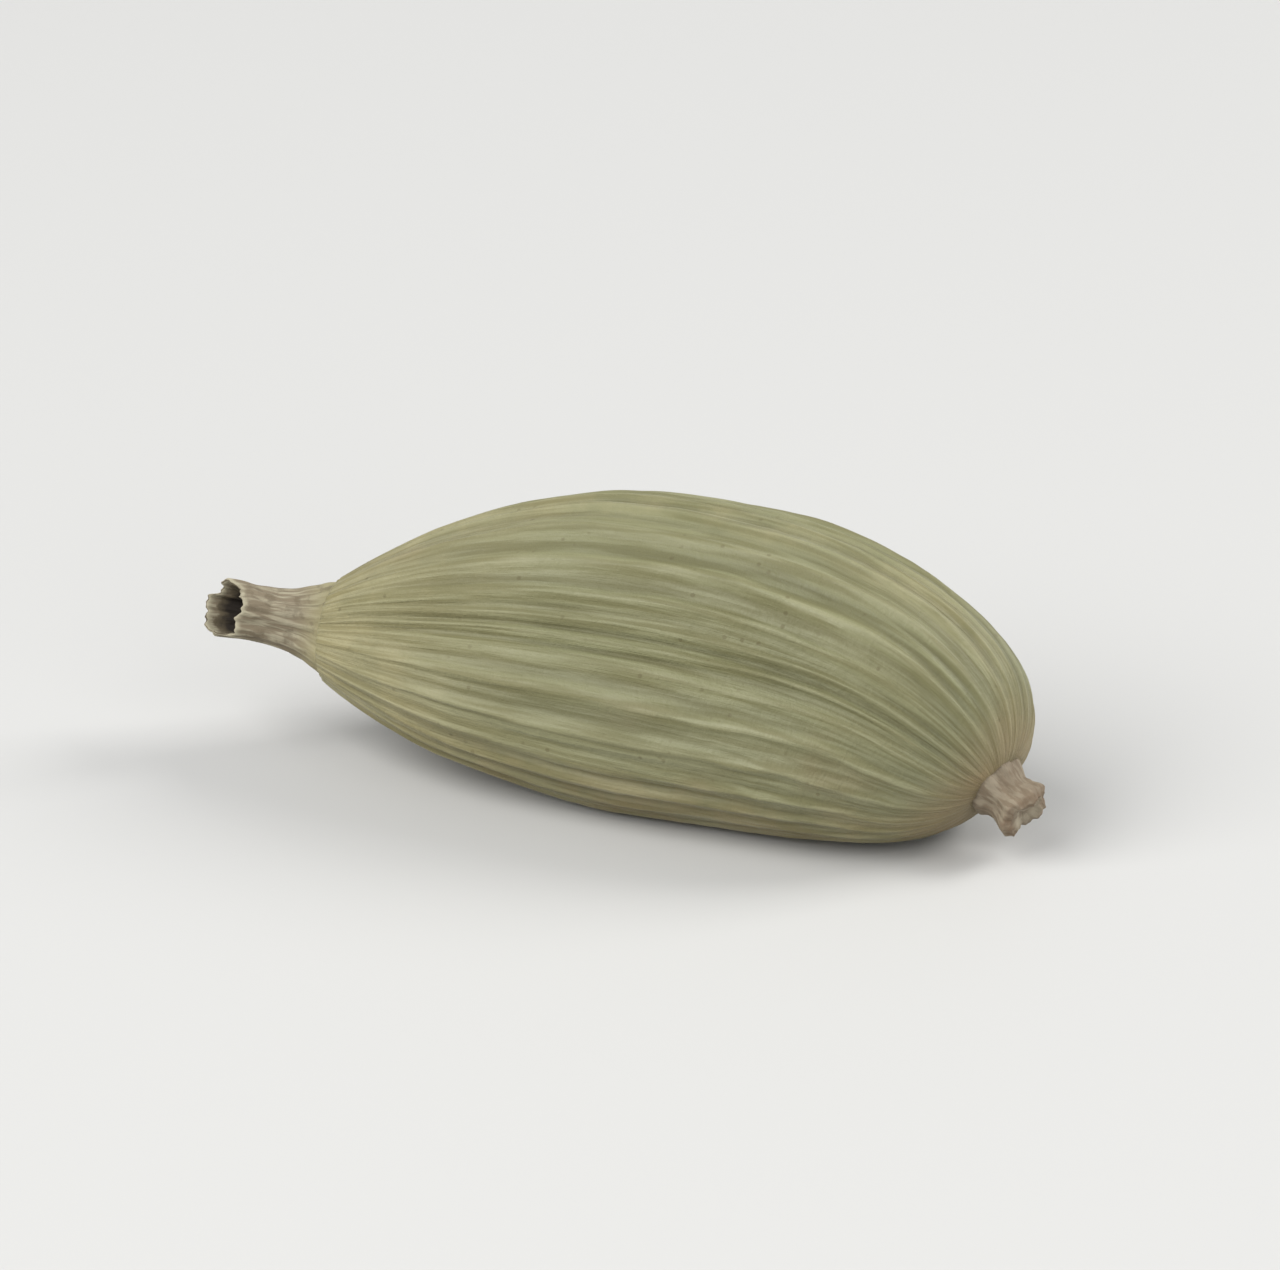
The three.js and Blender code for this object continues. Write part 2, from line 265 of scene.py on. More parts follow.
class NodeBench:
    """Short forms for placing and joining shader nodes in one node tree."""

    def __init__(self, tree: bpy.types.NodeTree) -> None:
        """Works in the given node tree."""
        self.tree = tree

    def node(self, kind: str, **settings: object) -> bpy.types.Node:
        """Places a node.

        Args:
            kind: Blender's name of its type.
            **settings: Settings of the node itself.

        Returns:
            The new node.
        """
        made = self.tree.nodes.new(kind)
        for key, value in settings.items():
            setattr(made, key, value)
        return made

    def feed(self, socket: Socket, source: object) -> None:
        """Joins a socket to another, or sets it to a plain value.

        Args:
            socket: Input to feed.
            source: Socket to join it to, or its value. None leaves it as it is.
        """
        if isinstance(source, bpy.types.NodeSocket):
            self.tree.links.new(source, socket)
        elif source is not None:
            socket.default_value = source

    def place(self, coords: Coords) -> Socket:
        """Finds the place that a pattern reads.

        Args:
            coords: The kind of place.

        Returns:
            The place, in metres or along the piece's own flow.
        """
        if coords is Coords.FLOW:
            return self.node("ShaderNodeAttribute", attribute_name=coords.value).outputs["Vector"]
        return self.node("ShaderNodeTexCoord").outputs[coords.value]

    def value(self, name: str) -> Socket:
        """Returns a value that the mesh carries at its points."""
        return self.node("ShaderNodeAttribute", attribute_name=name).outputs["Fac"]

    def noise(self, place: Socket, scale: Socket | float, detail: float = 3.0, rough: float = 0.5) -> Socket:
        """Makes fractal noise.

        Args:
            place: Place that it reads.
            scale: Its frequency.
            detail: How many finer layers it has.
            rough: How strong those are.

        Returns:
            Values from 0 to 1.
        """
        made = self.node("ShaderNodeTexNoise", noise_dimensions="3D")
        self.feed(made.inputs["Vector"], place)
        self.feed(made.inputs["Scale"], scale)
        self.feed(made.inputs["Detail"], detail)
        self.feed(made.inputs["Roughness"], rough)
        return made.outputs["Fac"]

    def stretch(self, place: Socket, scale: tuple[float, float, float]) -> Socket:
        """Scales a place along its three axes, which makes a pattern on it finer or longer.

        Args:
            place: Place to scale.
            scale: Factors along the axes.

        Returns:
            The scaled place.
        """
        made = self.node("ShaderNodeMapping", vector_type="POINT")
        self.feed(made.inputs["Vector"], place)
        self.feed(made.inputs["Scale"], scale)
        return made.outputs["Vector"]

    def span(
        self, value: Socket, low: float, high: float, to_low: float = 0.0, to_high: float = 1.0
    ) -> Socket:
        """Eases a value from one range to another and holds it at the ends.

        Args:
            value: Value to ease.
            low: Start of its range.
            high: End of its range.
            to_low: Result at the start.
            to_high: Result at the end.

        Returns:
            The eased value.
        """
        made = self.node("ShaderNodeMapRange", interpolation_type="SMOOTHSTEP")
        self.feed(made.inputs["Value"], value)
        self.feed(made.inputs["From Min"], low)
        self.feed(made.inputs["From Max"], high)
        self.feed(made.inputs["To Min"], to_low)
        self.feed(made.inputs["To Max"], to_high)
        return made.outputs["Result"]

    def math(self, kind: str, first: object, second: object = None, third: object = None) -> Socket:
        """Works out one sum.

        Args:
            kind: Blender's name of the sum.
            first: First value.
            second: Second value, if the sum has one.
            third: Third value, if the sum has one.

        Returns:
            The result.
        """
        made = self.node("ShaderNodeMath", operation=kind)
        for socket, source in zip(made.inputs, (first, second, third)):
            self.feed(socket, source)
        return made.outputs[0]

    def times(self, first: object, second: object) -> Socket:
        """Returns the product of two values."""
        return self.math("MULTIPLY", first, second)

    def blend(self, share: object, first: object, second: object, kind: str = "MIX") -> Socket:
        """Blends two colours.

        Args:
            share: Share of the second, from 0 to 1.
            first: Colour at a share of 0.
            second: Colour that is laid over it.
            kind: Blender's name of the way that it is laid on.

        Returns:
            The blended colour.
        """
        made = self.node("ShaderNodeMix", data_type="RGBA", blend_type=kind, clamp_factor=True)
        self.feed(made.inputs[0], share)
        self.feed(made.inputs[6], first)
        self.feed(made.inputs[7], second)
        return made.outputs[2]

    def bump(
        self, height: Socket, distance_mm: float, strength: float, normal: Socket | None = None
    ) -> Socket:
        """Tilts normals by a height.

        Args:
            height: Height from 0 to 1.
            distance_mm: Millimetres that its full range stands for.
            strength: Share of the tilt that is used.
            normal: Normals to tilt, or the mesh's own without it.

        Returns:
            The tilted normals.
        """
        made = self.node("ShaderNodeBump")
        self.feed(made.inputs["Height"], height)
        self.feed(made.inputs["Distance"], distance_mm * MM)
        self.feed(made.inputs["Strength"], strength)
        self.feed(made.inputs["Normal"], normal)
        return made.outputs["Normal"]


class SharedEffects:
    """The shader node groups that the materials place with their own values, built once.

    Each reads a place and one frequency, and works a second, finer or coarser pattern out from that.
    """

    FINE_FIBRES = 2.7  # frequency of the fine fibres over that of the coarse ones
    CLOUDS = 3.3  # frequency of the clouds over that of the patches
    BARE_PLACES = 0.45  # frequency of the noise that thins the specks out, over theirs

    def __init__(self) -> None:
        """Builds the three groups."""
        self.fibres = self._fibres()
        self.mottle = self._mottle()
        self.specks = self._specks()

    @staticmethod
    def _start(
        name: str, frequency: str, outputs: Sequence[str]
    ) -> tuple[NodeBench, Socket, Socket, bpy.types.Node]:
        """Starts a node group.

        Args:
            name: Name of the group.
            frequency: Name of the input that takes the frequency.
            outputs: Names of the values that it puts out.

        Returns:
            The group's bench, its two inputs and the node that takes the values.
        """
        tree = bpy.data.node_groups.new(name, "ShaderNodeTree")
        tree.interface.new_socket(name="Place", in_out="INPUT", socket_type="NodeSocketVector")
        tree.interface.new_socket(name=frequency, in_out="INPUT", socket_type="NodeSocketFloat")
        for label in outputs:
            tree.interface.new_socket(name=label, in_out="OUTPUT", socket_type="NodeSocketFloat")
        bench = NodeBench(tree)
        entry, leave = bench.node("NodeGroupInput"), bench.node("NodeGroupOutput")
        return bench, entry.outputs["Place"], entry.outputs[frequency], leave

    def _fibres(self) -> bpy.types.NodeTree:
        """Long thin streaks: noise squeezed across the fibres and drawn out along them."""
        bench, place, fineness, leave = self._start("long_fibres", "Fineness", ["Streak", "Height"])
        coarse = bench.noise(place, fineness, 2.0, 0.45)
        fine = bench.noise(place, bench.times(fineness, self.FINE_FIBRES), 3.0, 0.6)
        bench.feed(leave.inputs["Streak"], bench.span(coarse, 0.36, 0.66))
        mean = bench.math("MULTIPLY_ADD", fine, 0.5, bench.times(coarse, 0.5))
        bench.feed(leave.inputs["Height"], mean)
        return bench.tree

    def _mottle(self) -> bpy.types.NodeTree:
        """Cloudy patches at two sizes, for colour that wanders over a dried skin."""
        bench, place, fineness, leave = self._start("dry_mottle", "Fineness", ["Patch", "Cloud"])
        patch = bench.noise(place, fineness, 3.0, 0.55)
        cloud = bench.noise(place, bench.times(fineness, self.CLOUDS), 5.0, 0.62)
        bench.feed(leave.inputs["Patch"], bench.span(patch, 0.44, 0.62))
        bench.feed(leave.inputs["Cloud"], bench.span(cloud, 0.32, 0.70))
        return bench.tree

    def _specks(self) -> bpy.types.NodeTree:
        """Small dark oil spots: the near parts of a cell pattern, thinned out by noise."""
        bench, place, density, leave = self._start("oil_specks", "Density", ["Speck"])
        cells = bench.node("ShaderNodeTexVoronoi", feature="F1")
        bench.feed(cells.inputs["Vector"], place)
        bench.feed(cells.inputs["Scale"], density)
        near = bench.span(cells.outputs["Distance"], 0.10, 0.22, 1.0, 0.0)
        thin = bench.noise(place, bench.times(density, self.BARE_PLACES), 1.0, 0.5)
        bench.feed(leave.inputs["Speck"], bench.times(near, bench.span(thin, 0.52, 0.66)))
        return bench.tree


@dataclass(frozen=True)
class DryFinish:
    """What every dry plant finish has: a name, its roughness, fibres, mottle and the shared effects."""

    effects: SharedEffects
    name: str
    rough_low: float
    rough_high: float
    specular: float
    fibre_stretch: float  # frequency along the fibres over that across them
    fibre_fineness: float
    mottle_fineness: float
    fibre_bump: float

    def start(self) -> tuple[bpy.types.Material, NodeBench, bpy.types.Node]:
        """Starts a material with nothing but its shader.

        Returns:
            The material, its bench and its Principled shader.
        """
        material = bpy.data.materials.new(self.name)
        material.use_nodes = True
        tree = material.node_tree
        tree.nodes.clear()
        bench = NodeBench(tree)
        shader = bench.node("ShaderNodeBsdfPrincipled")
        leave = bench.node("ShaderNodeOutputMaterial")
        bench.feed(leave.inputs["Surface"], shader.outputs["BSDF"])
        bench.feed(shader.inputs["Specular IOR Level"], self.specular)
        return material, bench, shader

    def group(self, bench: NodeBench, tree: bpy.types.NodeTree, **inputs: object) -> bpy.types.Node:
        """Places a shared effect in a material with its own values.

        Args:
            bench: The material's bench.
            tree: The effect's node group.
            **inputs: What its inputs are fed with.

        Returns:
            The group's node.
        """
        made = bench.node("ShaderNodeGroup", node_tree=tree)
        for key, source in inputs.items():
            bench.feed(made.inputs[key], source)
        return made

    def grain(
        self, bench: NodeBench, shader: bpy.types.Node, flow: Socket, place: Socket
    ) -> tuple[Socket, bpy.types.Node, Socket]:
        """Places the fibres and the mottle, and makes the raised fibres the smoother ones.

        Args:
            bench: The material's bench.
            shader: The Principled shader, which gets its roughness.
            flow: Place that follows the piece.
            place: Place in metres.

        Returns:
            The fibres' streaks, the mottle's node, and the normals with the fibres' relief.
        """
        drawn_out = bench.stretch(flow, (1.0, 1.0, self.fibre_stretch))
        fibres = self.group(bench, self.effects.fibres, Place=drawn_out, Fineness=self.fibre_fineness)
        mottle = self.group(bench, self.effects.mottle, Place=place, Fineness=self.mottle_fineness)
        height = fibres.outputs["Height"]
        bench.feed(shader.inputs["Roughness"], bench.span(height, 0.3, 0.7, self.rough_high, self.rough_low))
        return fibres.outputs["Streak"], mottle, bench.bump(height, 0.06, self.fibre_bump)


@dataclass(frozen=True)
class HuskFinish(DryFinish):
    """Papery green husk: pale rib crests and darker troughs, partly its own tone and partly painted highlight
    and painted shade, straw at the tube, brown in stains, and browner painted shade low down near the table.
    """

    specular: float = 0.35
    fibre_stretch: float = 0.075
    fibre_fineness: float = 28.0
    mottle_fineness: float = 170.0
    fibre_bump: float = 0.9
    rib_stretch: float = 0.08
    rib_fineness: float = 5.2
    speck_density: float = 2600.0
    stain_stretch: float = 0.6
    stain_fineness: float = 210.0
    wrinkle_stretch: float = 1.9
    wrinkle_fineness: float = 21.0
    crinkle_fineness: float = 5200.0
    green: Colour = srgb(123, 122, 88)
    # The trough and crest colours hold the ribs' own tone together with painted shade in the troughs and a
    # painted highlight on the crests.
    trough_shade_olive: Colour = srgb(110, 109, 79)
    khaki: Colour = srgb(131, 129, 97)
    crest: Colour = srgb(139, 137, 106)
    grey_green: Colour = srgb(122, 124, 100)
    straw: Colour = srgb(156, 148, 112)
    tan: Colour = srgb(148, 129, 96)
    # brown: the colour of real stains, and also of the painted shade low down near the table
    brown: Colour = srgb(122, 100, 70)
    oil: Colour = srgb(84, 73, 40)
    streak: Colour = srgb(222, 219, 205)
    sheen: Colour = srgb(232, 228, 206)

    def make(self) -> bpy.types.Material:
        """Builds the husk's material.

        Returns:
            The material, whose patterns follow the ribs by the mesh's own values.
        """
        material, bench, shader = self.start()
        flow, place = bench.place(Coords.FLOW), bench.place(Coords.OBJECT)
        streaks, mottle, normal = self.grain(bench, shader, flow, place)
        specks = self.group(bench, self.effects.specks, Place=place, Density=self.speck_density)
        colour = self.ribs(bench, flow, mottle)
        colour = self.ends(bench, colour, mottle)
        colour = self.wear(bench, place, colour, mottle)
        colour = bench.blend(bench.times(specks.outputs["Speck"], 0.4), colour, self.oil)
        dark = bench.blend(1.0, colour, self.streak, "MULTIPLY")
        bench.feed(shader.inputs["Base Color"], bench.blend(streaks, dark, colour))

        bench.feed(shader.inputs["Sheen Weight"], 0.16)
        bench.feed(shader.inputs["Sheen Roughness"], 0.45)
        bench.feed(shader.inputs["Sheen Tint"], self.sheen)
        across = bench.stretch(flow, (1.0, 1.0, self.wrinkle_stretch))
        wrinkles = bench.noise(across, self.wrinkle_fineness, 3.0, 0.6)
        crinkle = bench.noise(place, self.crinkle_fineness, 3.0, 0.6)
        normal = bench.bump(wrinkles, 0.06, 0.45, normal)
        bench.feed(shader.inputs["Normal"], bench.bump(crinkle, 0.03, 0.45, normal))
        return material

    def ribs(self, bench: NodeBench, flow: Socket, mottle: bpy.types.Node) -> Socket:
        """Colours the ribs: darker in the troughs and paler on the crests, partly their own tone and partly
        painted shade and painted highlight, and no two ribs quite alike.

        Args:
            bench: The material's bench.
            flow: Place that follows the ribs.
            mottle: The mottle's node.

        Returns:
            The ribs' colour.
        """
        relief = bench.value("relief")
        # Darker troughs: partly the husk's own darker green, partly painted shade.
        colour = bench.blend(bench.span(relief, -1.0, 0.1), self.trough_shade_olive, self.green)
        own = bench.noise(bench.stretch(flow, (1.0, 1.0, self.rib_stretch)), self.rib_fineness, 3.0, 0.6)
        colour = bench.blend(bench.span(own, 0.40, 0.66, 0.0, 0.6), colour, self.khaki)
        colour = bench.blend(bench.times(mottle.outputs["Patch"], 0.15), colour, self.grey_green)
        # Paler crests: partly paler fibre, partly a painted highlight, stronger where the clouds are.
        crest_highlight = bench.span(mottle.outputs["Cloud"], 0.0, 1.0, 0.25, 0.75)
        return bench.blend(bench.times(bench.span(relief, 0.15, 1.1), crest_highlight), colour, self.crest)

    def ends(self, bench: NodeBench, colour: Socket, mottle: bpy.types.Node) -> Socket:
        """Turns the husk straw-coloured where it runs into the flower tube, and tan at the stalk.

        Args:
            bench: The material's bench.
            colour: Colour so far.
            mottle: The mottle's node.

        Returns:
            The colour with both ends.
        """
        along = bench.value("along")
        patchy = bench.span(mottle.outputs["Cloud"], 0.0, 1.0, 0.6, 1.0)
        tip = bench.times(bench.span(along, 0.02, 0.34, 0.9, 0.0), patchy)
        colour = bench.blend(tip, colour, self.straw)
        stalk = bench.times(bench.span(along, 0.84, 1.0, 0.0, 0.95), patchy)
        return bench.blend(stalk, colour, self.tan)

    def wear(self, bench: NodeBench, place: Socket, colour: Socket, mottle: bpy.types.Node) -> Socket:
        """Browns the husk in stains, browns it low down as painted shade near the table, and pales it along
        its blunt ridges where it rubbed.

        Args:
            bench: The material's bench.
            place: Place in metres.
            colour: Colour so far.
            mottle: The mottle's node.

        Returns:
            The worn colour.
        """
        drawn_out = bench.stretch(place, (self.stain_stretch, 1.0, 1.0))
        stain = bench.noise(drawn_out, self.stain_fineness, 4.0, 0.6)
        colour = bench.blend(bench.span(stain, 0.56, 0.76, 0.0, 0.45), colour, self.brown)
        rubbed = bench.times(bench.span(bench.value("ridge"), 0.72, 1.0), mottle.outputs["Cloud"])
        colour = bench.blend(bench.times(rubbed, 0.4), colour, self.straw)
        # Painted shade: within about 2.6 mm of the table the husk turns browner, most at the bottom.
        height = bench.node("ShaderNodeSeparateXYZ")
        bench.feed(height.inputs["Vector"], place)
        low = bench.span(height.outputs["Z"], 0.4 * MM, 2.6 * MM, 0.42, 0.0)
        patchy = bench.span(mottle.outputs["Cloud"], 0.1, 0.9, 0.5, 1.0)
        return bench.blend(bench.times(low, patchy), colour, self.brown)


@dataclass(frozen=True)
class TubeFinish(DryFinish):
    """Dry flower tube: greyish straw with brown veins, a worn pale edge and painted shade that darkens its
    bore.
    """

    specular: float = 0.25
    fibre_stretch: float = 0.22
    fibre_fineness: float = 7.0
    mottle_fineness: float = 700.0
    fibre_bump: float = 0.7
    crinkle_fineness: float = 4200.0
    straw: Colour = srgb(156, 149, 127)
    vein: Colour = srgb(120, 109, 90)
    rim: Colour = srgb(164, 157, 134)
    # Painted shade: the inside and lining colours darken the bore as it goes in.
    inside: Colour = srgb(44, 38, 32)
    bore_shade_lining: Colour = srgb(96, 86, 68)
    root: Colour = srgb(146, 139, 104)

    def make(self) -> bpy.types.Material:
        """Builds the flower tube's material.

        Returns:
            The material, with veins that run along the tube.
        """
        material, bench, shader = self.start()
        flow, place = bench.place(Coords.FLOW), bench.place(Coords.OBJECT)
        along, depth = bench.value("along"), bench.value("inside")
        streaks, mottle, normal = self.grain(bench, shader, flow, place)
        colour = bench.blend(bench.span(streaks, 0.15, 0.95), self.vein, self.straw)
        colour = bench.blend(bench.times(mottle.outputs["Patch"], 0.35), colour, self.vein)
        colour = bench.blend(bench.span(along, 0.0, 0.48, 0.95, 0.0), colour, self.root)
        browned = bench.times(bench.span(along, 0.25, 0.80), mottle.outputs["Cloud"])
        colour = bench.blend(bench.times(browned, 0.6), colour, self.vein)
        colour = bench.blend(bench.span(along, 0.95, 1.005, 0.0, 0.85), colour, self.rim)
        # Painted shade: the bore turns to the lining and then to the dark inside colour with its depth.
        shaded = bench.math("ADD", depth, bench.span(mottle.outputs["Cloud"], 0.0, 1.0, -0.04, 0.04))
        colour = bench.blend(bench.span(shaded, 0.0, 0.08), colour, self.bore_shade_lining)
        colour = bench.blend(bench.span(shaded, 0.03, 0.26), colour, self.inside)
        bench.feed(shader.inputs["Base Color"], colour)
        crinkle = bench.noise(place, self.crinkle_fineness)
        bench.feed(shader.inputs["Normal"], bench.bump(crinkle, 0.02, 0.4, normal))
        return material


@dataclass(frozen=True)
class StalkFinish(DryFinish):
    """Broken stalk: greyish-beige wood, browner along its rim, with pale pith round a darker middle."""

    specular: float = 0.25
    fibre_stretch: float = 0.3
    fibre_fineness: float = 6.0
    mottle_fineness: float = 900.0
    fibre_bump: float = 0.7
    crinkle_fineness: float = 5200.0
    beige: Colour = srgb(140, 129, 110)
    bark: Colour = srgb(114, 100, 82)
    rim: Colour = srgb(112, 93, 74)
    pith: Colour = srgb(160, 150, 130)

    def make(self) -> bpy.types.Material:
        """Builds the stalk's material.

        Returns:
            The material, with bark outside and pith in the broken end.
        """
        material, bench, shader = self.start()
        flow, place = bench.place(Coords.FLOW), bench.place(Coords.OBJECT)
        along, core = bench.value("along"), bench.value("core")
        streaks, mottle, normal = self.grain(bench, shader, flow, place)
        colour = bench.blend(bench.span(streaks, 0.0, 0.8, 0.25, 1.0), self.bark, self.beige)
        colour = bench.blend(bench.times(mottle.outputs["Patch"], 0.5), colour, self.bark)
        edge = bench.times(bench.span(along, 0.70, 0.95), bench.span(core, 0.0, 0.35, 1.0, 0.0))
        colour = bench.blend(bench.times(edge, mottle.outputs["Cloud"]), colour, self.rim)
        colour = bench.blend(bench.span(core, 0.12, 0.55), colour, self.pith)
        colour = bench.blend(bench.span(core, 0.45, 0.90, 0.0, 0.8), colour, self.bark)
        bench.feed(shader.inputs["Base Color"], colour)
        crinkle = bench.noise(place, self.crinkle_fineness)
        bench.feed(shader.inputs["Normal"], bench.bump(crinkle, 0.03, 0.5, normal))
        return material


# The pod


@dataclass(frozen=True)
class Seats:
    """The two seats that the husk is closed round, and how far the pieces on them reach, in millimetres."""

    start: float = -8.45
    end: float = 10.25
    start_radius: float = 1.45
    end_radius: float = 0.84
    start_height: float = 3.25
    end_height: float = 1.9
    lean_up: float = 0.50
    lean_side: float = 0.35
    tube_reach: float = 2.88
    stub_reach: float = 1.3


@dataclass(frozen=True)
class Axes:
    """A place with a direction out along a piece, and two directions square to it."""

    origin: Array
    out: Array

    def point(self, out: Array | float, side: Array, up: Array) -> Array:
        """Works out points from how far they are out, to the side and up.

        Side is level and square to the direction out, and up is square to both.

        Args:
            out: Distance along the piece.
            side: Distance to its left, seen along +X.
            up: Distance upwards.

        Returns:
            The points, with a last axis of 3.
        """
        ahead = self.out / np.linalg.norm(self.out, axis=-1, keepdims=True)
        along = np.where(ahead[..., :1] < 0.0, -ahead, ahead)
        level = np.cross(np.array([0.0, 0.0, 1.0]), along)
        level = level / np.linalg.norm(level, axis=-1, keepdims=True)
        rise = np.cross(along, level)
        out, side, up = np.broadcast_arrays(out, side, up)
        return self.origin + ahead * out[..., None] + level * side[..., None] + rise * up[..., None]


@dataclass
class Husk:
    """The ribbed three-sided husk, closed round its two seats, with its sizes in millimetres."""

    seats: Seats
    rows: int = 184
    ribs: int = 33
    samples: int = 16
    faces: int = 3
    height: float = 7.9
    width: float = 8.9
    widest: float = 1.5
    start_taper: float = 1.45
    end_taper: float = 0.72
    start_power: float = 2.0
    end_power: float = 3.8
    lean_from: float = 0.45
    triangle: float = 0.092
    ridge_blunt: float = 0.012
    breadth: float = 1.03  # half the rounded triangle's width over its mean radius
    start_round: float = 0.22
    end_round: float = 0.16
    furrow_depth: float = 0.11
    furrow_spread: float = 0.21
    twist: float = 0.16
    bend: float = 1.2
    settled_depth: float = 0.20
    settled_spread: float = 0.56
    settled_length: float = 6.0
    rib_height: float = 0.078
    sharpness: float = 1.5
    gather: float = 1.2
    swells: tuple[Wave, ...] = (Wave(0.006, 2, 0.0, 1.15), Wave(0.005, -3, 1.3, 0.80))
    spacing: tuple[Wave, ...] = (Wave(0.036, 6, 0.7), Wave(0.026, 5, 2.1))
    mean_strength: float = 0.84
    own_strength: float = 0.20
    own_step: float = 2.4
    drift: tuple[Wave, ...] = (Wave(0.14, 9, 0.0, 0.55),)
    uneven_strength: float = 0.16
    wander: float = 0.030
    fine_wander: float = 0.35
    fork_height: float = 0.030
    second_height: float = 0.10
    second_dip: float = 0.5
    between_height: float = 0.022
    between_range: tuple[float, float] = (0.6, 0.4)
    stria_height: float = 0.017
    crinkle_height: float = 0.012
    smooth_crests: float = 0.4
    smooth_settled: float = 0.7
    dents: int = 10
    dent_margins: tuple[float, float] = (3.0, 2.0)
    dent_depths: tuple[float, float] = (0.02, 0.05)
    dent_lengths: tuple[float, float] = (0.8, 2.2)
    dent_angles: tuple[float, float] = (0.14, 0.28)
    floor_blend: float = 0.05
    flow_length: float = 4.0

    @property
    def up(self) -> float:
        """Radius of the rounded triangle over its mean, at a ridge."""
        return 1.0 + self.triangle - self.ridge_blunt

    @property
    def down(self) -> float:
        """Radius of the rounded triangle over its mean, at the middle of a face."""
        return 1.0 - self.triangle - self.ridge_blunt

    @property
    def half_height(self) -> float:
        """Mean radius of the thickest section, measured upright."""
        return (self.height + self.settled_depth) / (self.up + self.down)

    @property
    def half_width(self) -> float:
        """Mean radius of the thickest section, measured across."""
        return self.width / 2.0 / self.breadth

    @property
    def middle(self) -> float:
        """Height of the line that the ribs gather round, at the widest place."""
        return self.down * self.half_height - self.settled_depth

    def station(self, share: Array) -> tuple[Array, Array]:
        """Works out how far along and how thick the husk is at a share of the way between its seats.

        The share becomes an angle on a half circle. The place is its cosine and the thickness its sine raised
        to a taper, above 1 for a drawn-out shoulder and below 1 for a full one.

        Args:
            share: From 0 at the flower tube to 1 at the stalk.

        Returns:
            The places along X in millimetres and the thicknesses from 0 to 1.
        """
        first = math.asin((self.seats.start_radius / self.half_height) ** (1.0 / self.start_taper))
        last = math.pi - math.asin((self.seats.end_radius / self.half_height) ** (1.0 / self.end_taper))
        phi = mix(first, last, share)
        before = phi < math.pi / 2.0
        reach = np.where(
            before,
            (self.widest - self.seats.start) / math.cos(first),
            (self.seats.end - self.widest) / -math.cos(last),
        )
        taper = np.where(before, self.start_taper, self.end_taper)
        return self.widest - reach * np.cos(phi), np.sin(phi) ** taper

    def spine(self, x: Array) -> tuple[Array, Array]:
        """Works out the line that the ribs gather round: high at the tube, low at the stalk, bowed sideways.

        Args:
            x: Places along the pod.

        Returns:
            Its sideways places and its heights.
        """
        start, end = self.seats.start, self.seats.end
        back = np.clip((self.widest - x) / (self.widest - start), 0.0, 1.0) ** self.start_power
        front = np.clip((x - self.widest) / (end - self.widest), 0.0, 1.0) ** self.end_power
        height = self.middle + (self.seats.start_height - self.middle) * back
        height = height + (self.seats.end_height - self.middle) * front
        return self.bend * np.sin(math.pi * (x - start) / (end - start)), height

    def relief(self, turn: Array, share: Array, x: Array, noise: RingNoise) -> tuple[Array, Array]:
        """Works out the ribs and the finer veins over the plain husk.

        Each rib is a sharpened cosine with a strength of its own. Its crest wanders a little, forks where a
        wave of twice the count turns negative, and carries fine lengthwise veins and crosswise crinkles.
        Where the ribs stand further apart than the mean, a second rib rises between them in proportion.

        Args:
            turn: Angle round the husk before the ribs are spaced and wound.
            share: Place along the husk, from 0 to 1.
            x: The same place in millimetres.
            noise: Source of the random fields.

        Returns:
            The relief in millimetres on the widest part, and the ribs alone, from about -1 to 1.
        """
        wander = noise.field(turn, share, 11, 6) + self.fine_wander * noise.field(turn, share, 33, 16)
        phase = self.ribs * (turn + self.wander * wander)
        crest = 2.0 * peaks(phase, self.sharpness) - 1.0
        steady, changing = self.between_range
        between = peaks(3.0 * phase, self.sharpness) * (steady + changing * noise.field(turn, share, 33, 8))
        own = self.own_strength * np.sin(self.own_step * self.ribs * turn / TAU)
        strength = self.mean_strength + own + waves(self.drift, turn, x)
        strength = strength * (1.0 + self.uneven_strength * noise.field(turn, share, 17, 7))
        fork = noise.field(turn, share, 22, 5) * np.cos(2.0 * phase)
        apart = np.clip(sum(wave.slope(turn) for wave in self.spacing), 0.0, None)
        second = apart * (1.0 - self.second_dip * share * (1.0 - share)) * np.cos(2.0 * phase)
        ribs = self.rib_height * crest * strength + self.between_height * between
        ribs = ribs + self.fork_height * fork + self.second_height * second
        striae = self.stria_height * noise.field(turn, share, 176, 22)
        crinkle = self.crinkle_height * noise.field(turn, share, 88, 64) * (1.0 - self.smooth_crests * crest)
        return ribs + striae + crinkle, ribs / self.rib_height

    def dimples(self, turn: Array, x: Array, noise: RingNoise) -> Array:
        """Works out a few soft dents between the seeds, each a swell along and round the husk.

        Args:
            turn: Angle round the husk.
            x: Place along it in millimetres.
            noise: Source of their places and sizes.

        Returns:
            Their depth in millimetres.
        """
        depth = np.zeros(np.broadcast(turn, x).shape)
        first, last = self.seats.start + self.dent_margins[0], self.seats.end - self.dent_margins[1]
        for place, angle, size in noise.draw.uniform(0.0, 1.0, (self.dents, 3)):
            across = bell(wrap_angle(turn - TAU * angle), mix(*self.dent_angles, size))
            along = bell(x - mix(first, last, place), mix(*self.dent_lengths, size))
            depth += mix(*self.dent_depths, size) * across * along
        return depth

